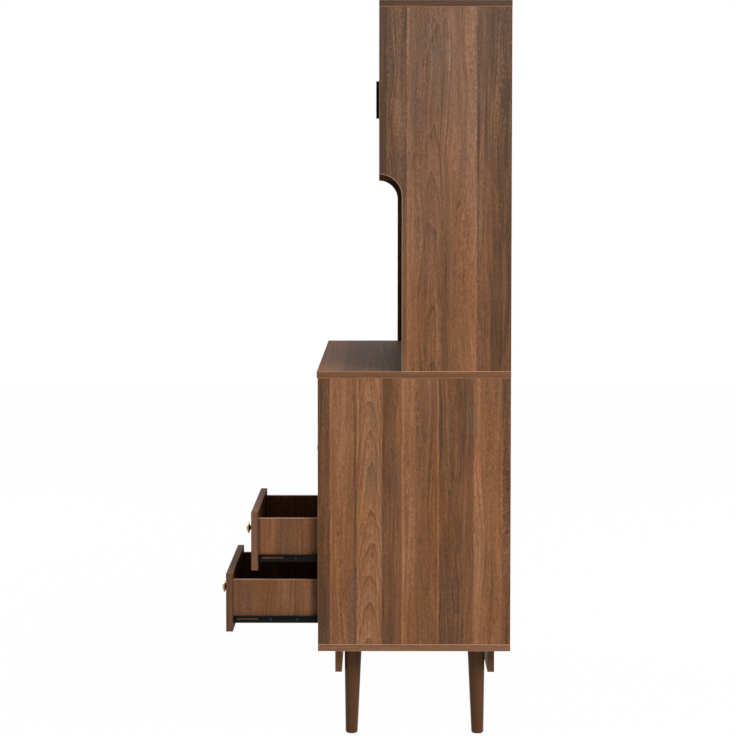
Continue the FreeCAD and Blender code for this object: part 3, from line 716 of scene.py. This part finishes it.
def knob_form(low, high, bead):
    """A mushroom knob round Z, as large as the box that its CAD solid fills.

    Above its foot a hollow runs into the neck, which flares out to a bead under a low dome.
    """
    rim = (high.x - low.x) / 2
    stand = high.y - low.y
    foot, ankle, neck = 0.46 * rim, 0.40 * rim, 0.292 * rim
    foot_top, hollow, neck_top = 0.05 * stand, 0.09 * stand, 0.49 * stand
    dome = 0.21 * stand
    under = stand - dome - 2 * bead
    sphere = (rim ** 2 + dome ** 2) / (2 * dome)
    reach = math.degrees(math.asin((rim - bead) / sphere))
    rising = [k / 6 for k in range(1, 7)]
    flaring = [k / 8 for k in range(1, 9)]
    profile = [(0, 0), (foot, 0), (foot, foot_top), (ankle, hollow)]
    profile += [(neck + (ankle - neck) * (1 - t) ** 2, hollow + (neck_top - hollow) * t)
                for t in rising]
    profile += [(neck + (rim - bead - neck) * t ** 1.6, neck_top + (under - neck_top) * t ** 0.9)
                for t in flaring]
    profile += arc((rim - bead, under + bead), bead, -80, 70, 8)
    profile += arc((0, stand - sphere), sphere, 90 - reach, 90, 16)
    return turned(profile, 64)


def soften(node, width):
    """Rounds the sharp edges of a CAD node by modifiers."""
    weld = NODES[node].modifiers.new("weld", "WELD")
    weld.merge_threshold = WELD
    bevel = NODES[node].modifiers.new("round", "BEVEL")
    bevel.width = width
    bevel.segments = 2
    bevel.limit_method = "ANGLE"


# Operators: one for each kind of piece, and one for the stage

class DRESSER_OT_boards(bpy.types.Operator):
    """Print walnut on the boards, each with its grain along the way it is cut"""

    bl_idname = "dresser.boards"
    bl_label = "Boards"

    def execute(self, context):
        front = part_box("base_side_right")[0].y
        hutch_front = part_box("hutch_side_right")[0].y
        top_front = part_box("base_top")[0].y

        # Level boards: planks, where the print starts, tone of the edges, gloss, length
        level = (("base_top", TOP_PLANKS, -top_front, 0.35, 0.036, 4.0),
                 ("base_bottom", BASE_PLANKS, 0.130, 0.46, GLOSS, 1.0),
                 ("niche_shelf", BASE_PLANKS, 0.210, 0.40, GLOSS, 1.0),
                 ("cupboard_shelf", BASE_PLANKS, 0.290, 0.40, GLOSS, 1.0),
                 ("hutch_top", BASE_PLANKS, 0.170, 0.02, GLOSS, 1.0),
                 # The hutch floor's print starts so that its dark planks lie at the front of its
                 # underside, and its edges are dark: a painted shade under the hutch.
                 ("hutch_floor", BASE_PLANKS, 0.272 - hutch_front, 0.12, 0.0, 1.0))
        # The hutch top has the painted arris highlight on all arrises that don't face up, the
        # others on those that face up or down.
        for number, (node, planks, shift, edge_tone, gloss, length) in enumerate(level):
            walnut_laminate(node, "Z", "X", planks, (shift, 0.3 * number, 0.2 * number), edge_tone,
                            gloss, glinting="side" if node == "hutch_top" else "level", length=length)

        # The paler painted highlight round the cut-outs of the hutch sides ends a little above the
        # arris of their bottom edge
        bay = (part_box("hutch_side_right")[0].z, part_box("hutch_floor")[0].z)
        bay_cut = ((bay[0] + bay[1]) / 2 + 2 * MM, (bay[1] - bay[0]) / 2)

        # Upright boards: planks, start and height of the print, where the painted sheen starts,
        # tone of the edges
        upright = (("base_side_right", BASE_PLANKS, -front, 0.0, NO_SHEEN, 0.46),
                   ("base_side_left", BASE_PLANKS, -front + 0.190, 1.7, NO_SHEEN, 0.46),
                   ("base_partition", BASE_PLANKS, -front + 0.300, 3.1, NO_SHEEN, 0.46),
                   # Both hutch sides turn less saturated and a touch greener above 0.80 m, a
                   # painted sheen.
                   ("hutch_side_right", HUTCH_PLANKS, -hutch_front, 0.0, 0.80, 0.20),
                   # The far hutch side's print is shifted so that its darkest plank lies on its
                   # face inside the bay, a painted shade.
                   ("hutch_side_left", HUTCH_PLANKS, -hutch_front - 0.040, 2.0, 2.80, 0.20),
                   ("hutch_divider", HUTCH_PLANKS, 0.050, 4.2, NO_SHEEN, 0.46))
        for node, planks, shift, along, sheen_from, edge_tone in upright:
            walnut_laminate(node, "X", "Z", planks, (shift, 0.0, along), edge_tone, 0.10, sheen_from,
                            "side", cut_out=bay_cut if node.startswith("hutch_side") else UNCUT)

        for first, (place, shift) in enumerate((("hutch", 0.07), ("base", 0.26))):
            for number, side in enumerate(SIDES, 2 * first):
                walnut_laminate(place + "_door_" + side, "Y", "Z", BASE_PLANKS,
                                (shift + 0.11 * number, 0.0, 0.9 * number), 0.38)
        return {"FINISHED"}


class DRESSER_OT_stand(bpy.types.Operator):
    """Finish the aprons and the rail as boards, and stain the turned legs"""

    bl_idname = "dresser.stand"
    bl_label = "Stand"

    def execute(self, context):
        rails = (("front_apron", 0.44), ("rear_apron", 0.24), ("drawer_rail", 0.30))
        for number, (node, edge_tone) in enumerate(rails):
            walnut_laminate(node, "Y", "X", BASE_PLANKS,
                            (0.08 + 0.13 * number, 0.0, 0.7 * number), edge_tone, 0.06)
        stain = stained_leg()
        for end in ("front", "rear"):
            for side in SIDES:
                coat("leg_" + end + "_" + side, stain)
        return {"FINISHED"}


class DRESSER_OT_drawers(bpy.types.Operator):
    """Print walnut on the drawer fronts and boxes, and hardboard on their floors"""

    bl_idname = "dresser.drawers"
    bl_label = "Drawers"

    def execute(self, context):
        for number, name in enumerate(DRAWERS):
            along = 0.5 + 0.8 * number
            # The faces of the drawer fronts towards the back are darkened, a painted shade inside
            # the drawers.
            walnut_laminate(name + "_front", "Y", "X", BASE_PLANKS,
                            (0.23 + 0.06 * number, 0.0, along), 0.34 - 0.14 * number, 0.04,
                            painted_back_shade=0.9)
            for side, shift in (("left", 0.63), ("right", 0.54)):
                walnut_laminate(name + "_side_" + side, "X", "Z", DRAWER_PLANKS,
                                (shift - 0.08 * number, 0.0, along), 0.50)
            walnut_laminate(name + "_back", "Y", "Z", BASE_PLANKS, (0.12, 0.0, along), 0.50)
            coat(name + "_floor", printed_hardboard(name + "_floor_board", -1, "Z", "X",
                                                    (0.2, 0.0, along)))
        return {"FINISHED"}


class DRESSER_OT_backs(bpy.types.Operator):
    """Cut the hardboard backs and nail them into their rabbets"""

    bl_idname = "dresser.backs"
    bl_label = "Backs"

    def execute(self, context):
        finish, fittings, _ = settings()
        zinc = coated("nail_steel", finish.steel, 0.30, 0.50, 0.4, 1.0)
        rise = fittings.nail_rise
        head = turned([(0, rise), (NAIL_CROWN, 0.8 * rise), (NAIL_RIM, 0), (0, 0)], 16)
        template = mesh_of(head, "nail_head")
        for number, node in enumerate(("base_back", "hutch_back")):
            low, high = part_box(node)
            high = high - Vector((0, rise, 0))
            fibre = printed_hardboard(node + "_board", 1, "Y", "Z",
                                      (0.1 + 0.2 * number, 0.0, 1.1 * number))
            panel = make_piece(node + "_panel", self.panel(low, high), fibre, "cabinet")
            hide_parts(node)
            places = self.nails(low, high, fittings.nail_pitch, nailed_below=number == 0)
            make_piece(node + "_nails", scattered(template, places), zinc, "cabinet")
        return {"FINISHED"}

    def panel(self, low, high):
        """A hardboard sheet, sawn with a slightly broken edge all round."""
        form = bmesh.new()
        middle = Matrix.Translation((low + high) / 2)
        bmesh.ops.create_cube(form, size=1.0, matrix=middle @ Matrix.Diagonal((*(high - low), 1)))
        bmesh.ops.bevel(form, geom=form.edges[:], offset=SAWN_EDGE, segments=2, profile=0.5,
                        affect="EDGES")
        return form

    def nails(self, low, high, pitch, nailed_below):
        """Places and directions of the nails along the edges of a back."""
        left, right = low.x + NAIL_INSET, high.x - NAIL_INSET
        foot, head = low.z + NAIL_INSET, high.z - NAIL_INSET
        count = round((head - foot) / pitch)
        spots = [(x, foot + (head - foot) * k / count) for k in range(count + 1)
                 for x in (left, right)]
        count = round((right - left) / pitch)
        spots += [(left + (right - left) * k / count, z) for k in range(1, count)
                  for z in ((head, foot) if nailed_below else (head,))]
        return [(Vector((x, high.y, z)), (0, 1, 0)) for x, z in spots]


class DRESSER_OT_knobs(bpy.types.Operator):
    """Turn the brass knobs, and put their screws through the boards behind them"""

    bl_idname = "dresser.knobs"
    bl_label = "Knobs"

    def execute(self, context):
        finish, fittings, _ = settings()
        brass = polished_brass()
        zinc = coated("knob_screw_steel", finish.steel, 0.30, 0.45, 0.4, 1.0)
        screw = pan_head(KNOB_SCREW_HEAD, KNOB_SCREW_RISE)
        knobs = [(name + "_knob", name + "_front", name + "_drawer") for name in DRAWERS]
        knobs += [("base_knob_" + side, "base_door_" + side, "base_" + side + "_door")
                  for side in SIDES]
        for node, board, body in knobs:
            low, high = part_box(node)
            form = knob_form(low, high, fittings.knob_bead)
            foot = Vector(((low.x + high.x) / 2, high.y, (low.z + high.z) / 2))
            bmesh.ops.transform(form, matrix=stood(foot, (0, -1, 0)), verts=form.verts[:])
            piece = make_piece("turned_" + node, form, brass, body)
            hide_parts(node)
            behind = Vector((foot.x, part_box(board)[1].y, foot.z))
            make_piece(node + "_screw", scattered(screw, [(behind, (0, 1, 0))]), zinc, body)
        return {"FINISHED"}


class DRESSER_OT_pulls(bpy.types.Operator):
    """Coat the finger pulls of the hutch doors black"""

    bl_idname = "dresser.pulls"
    bl_label = "Pulls"

    def execute(self, context):
        finish, _, _ = settings()
        black = coated("powder_coat", finish.black, 0.50, 0.65, 0.5, gloss=0.10)
        for side in SIDES:
            coat("hutch_pull_" + side, black)
            soften("hutch_pull_" + side, PULL_ROUND)
        return {"FINISHED"}


class DRESSER_OT_runners(bpy.types.Operator):
    """Coat the steel runners, finish their rollers and drive their screws"""

    bl_idname = "dresser.runners"
    bl_label = "Runners"

    def execute(self, context):
        finish, fittings, _ = settings()
        black = coated("black_dip_coat", finish.black, 0.42, 0.58, 0.8, gloss=0.10)
        nylon = coated("white_nylon", linear("#dedbd0"), 0.42, 0.55, 0.5)
        head = coated("blackened_screw_steel", linear("#363433"), 0.30, 0.45, 0.4, 1.0)
        screw = pan_head(fittings.screw_head, fittings.screw_rise)
        for body in ("cabinet", *DRAWERS):
            coat(body + "_runners", black)
            coat(body + "_rollers", nylon)
            soften(body + "_rollers", ROLLER_ROUND)
        for name in DRAWERS:
            low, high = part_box(name + "_runners")
            left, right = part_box(name + "_side_left")[0].x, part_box(name + "_side_right")[1].x
            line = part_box(name + "_side_left")[0].z + SCREW_LINE
            along = [low.y + fittings.first_screw + k * fittings.screw_pitch
                     for k in range(SCREWS)]
            places = [(Vector((x, y, line)), (way, 0, 0))
                      for x, way in ((left - WEB, -1), (right + WEB, 1))
                      for y in along if y < high.y - END_MARGIN]
            make_piece(name + "_runner_screws", scattered(screw, places), head,
                       name + "_drawer")
        return {"FINISHED"}


class DRESSER_OT_fittings(bpy.types.Operator):
    """Finish the pivots, the shelf clips and the magnetic catches"""

    bl_idname = "dresser.fittings"
    bl_label = "Fittings"

    def execute(self, context):
        finish, _, _ = settings()
        bronzed = coated("bronzed_steel", linear("#54402f"), 0.34, 0.50, 0.6, 1.0)
        zinc = coated("zinc_plate", finish.steel, 0.28, 0.45, 0.6, 1.0)
        plastic = coated("catch_plastic", linear("#4b382b"), 0.45, 0.58, 0.4)
        coat("hutch_pivots", bronzed)
        coat("base_pivots", bronzed)
        coat("shelf_clips", zinc)
        coat("door_catches", plastic)
        return {"FINISHED"}


WHITE = (1, 1, 1, 1)
FLOOR_REACH = 9.0           # from the middle of the floor to its edges, in metres
FLOOR_WHITE = 0.985         # share of plain white, the rest takes the shadows
SENSOR = 36                 # width in millimetres

# Each light: its name, the setting of its power, its place, and its width and height, in metres
LAMPS = (("key", "key_power", (3.4, 2.3, 3.0), (3.0, 2.2)),
         ("front_fill", "front_power", (-2.6, -3.6, 2.4), (2.4, 2.4)),
         ("back_fill", "back_power", (-2.8, 3.6, 2.2), (2.4, 2.4)))


class DRESSER_OT_stage(bpy.types.Operator):
    """Lay the floor, hang the lights and place the camera"""

    bl_idname = "dresser.stage"
    bl_label = "Stage"

    def execute(self, context):
        _, _, stage = settings()
        self.floor()
        self.room(stage)
        for name, power, place, size in LAMPS:
            self.lamp(name, getattr(stage, power), place, size)
        self.camera(stage)
        context.scene.view_settings.view_transform = "Standard"
        return {"FINISHED"}

    def seen(self, tree):
        """One for what the camera sees, straight or by metal or glass, and zero for the rest."""
        path = add(tree, "ShaderNodeLightPath").outputs
        mirrored = add(tree, MATH, (path["Is Camera Ray"], path["Is Glossy Ray"]),
                       operation="MAXIMUM")
        return add(tree, MATH, (mirrored, path["Is Transmission Ray"]), operation="MAXIMUM")

    def floor(self):
        """A white floor that shows white to the camera and keeps a light shadow."""
        form = bmesh.new()
        bmesh.ops.create_grid(form, x_segments=8, y_segments=8, size=FLOOR_REACH)
        floor = new_object("floor", mesh_of(form, "floor"))
        material = bpy.data.materials.new("white_floor")
        tree = emptied_tree(material)
        share = add(tree, MATH, (self.seen(tree), FLOOR_WHITE), operation="MULTIPLY")
        matt = add(tree, "ShaderNodeBsdfDiffuse", {"Color": opaque(linear("#f2f2f2"))})
        white = add(tree, "ShaderNodeEmission", {"Color": WHITE, "Strength": 1.0})
        mixed = add(tree, "ShaderNodeMixShader", (share, matt, white))
        add(tree, "ShaderNodeOutputMaterial", {"Surface": mixed})
        floor.data.materials.append(material)

    def room(self, stage):
        """White where the camera, metal or glass sees it, and a dim even light elsewhere."""
        world = bpy.data.worlds.new("room")
        bpy.context.scene.world = world
        tree = emptied_tree(world)
        dim = add(tree, "ShaderNodeBackground", {"Color": WHITE, "Strength": stage.ambient})
        white = add(tree, "ShaderNodeBackground", {"Color": WHITE, "Strength": 1.0})
        mixed = add(tree, "ShaderNodeMixShader", (self.seen(tree), dim, white))
        add(tree, "ShaderNodeOutputWorld", {"Surface": mixed})

    def lamp(self, name, power, place, size):
        """A soft light that faces the middle of the dresser."""
        data = bpy.data.lights.new(name, "AREA")
        data.shape = "RECTANGLE"
        data.size, data.size_y = size
        data.energy = power
        light = new_object(name, data)
        light.location = place
        middle = (CAD_BOUNDS[0] + CAD_BOUNDS[1]) / 2
        light.rotation_euler = (middle - light.location).to_track_quat("-Z", "Y").to_euler()

    def camera(self, stage):
        """A long lens that looks at the right side, almost level and square to it."""
        data = bpy.data.cameras.new("camera")
        data.sensor_width = SENSOR
        data.lens = stage.lens
        data.shift_y = stage.rise
        camera = new_object("camera", data)
        camera.location = stage.camera_at
        camera.rotation_euler = (math.radians(90) - stage.camera_pitch, 0,
                                 math.radians(90) + stage.camera_yaw)
        bpy.context.scene.camera = camera


STEPS = ("boards", "stand", "drawers", "backs", "knobs", "pulls", "runners", "fittings", "stage")


class DRESSER_PT_panel(bpy.types.Panel):
    """Steps and settings of the dresser"""

    bl_idname = "DRESSER_PT_panel"
    bl_label = "Dresser with hutch"
    bl_space_type = "VIEW_3D"
    bl_region_type = "UI"
    bl_category = "Dresser"

    def draw(self, context):
        for step in STEPS:
            self.layout.operator("dresser." + step)
        for group in settings():
            box = self.layout.box()
            for name in group.bl_rna.properties.keys():
                if name not in ("rna_type", "name"):
                    box.prop(group, name)


CLASSES = (FinishSettings, FittingSettings, StageSettings, DRESSER_OT_boards, DRESSER_OT_stand,
           DRESSER_OT_drawers, DRESSER_OT_backs, DRESSER_OT_knobs, DRESSER_OT_pulls,
           DRESSER_OT_runners, DRESSER_OT_fittings, DRESSER_OT_stage, DRESSER_PT_panel)
GROUPS = {"dresser_finish": FinishSettings, "dresser_fittings": FittingSettings,
          "dresser_stage": StageSettings}


def register():
    """Adds the classes and puts the settings on the scene."""
    for made in CLASSES:
        bpy.utils.register_class(made)
    for name, group in GROUPS.items():
        setattr(bpy.types.Scene, name, bpy.props.PointerProperty(type=group))


def unregister():
    """Takes the settings and the classes away again."""
    for name in GROUPS:
        delattr(bpy.types.Scene, name)
    for made in reversed(CLASSES):
        bpy.utils.unregister_class(made)


def main():
    """Dresses the model step by step."""
    register()
    for step in STEPS:
        getattr(bpy.ops.dresser, step)()


if __name__ == "__main__":
    main()
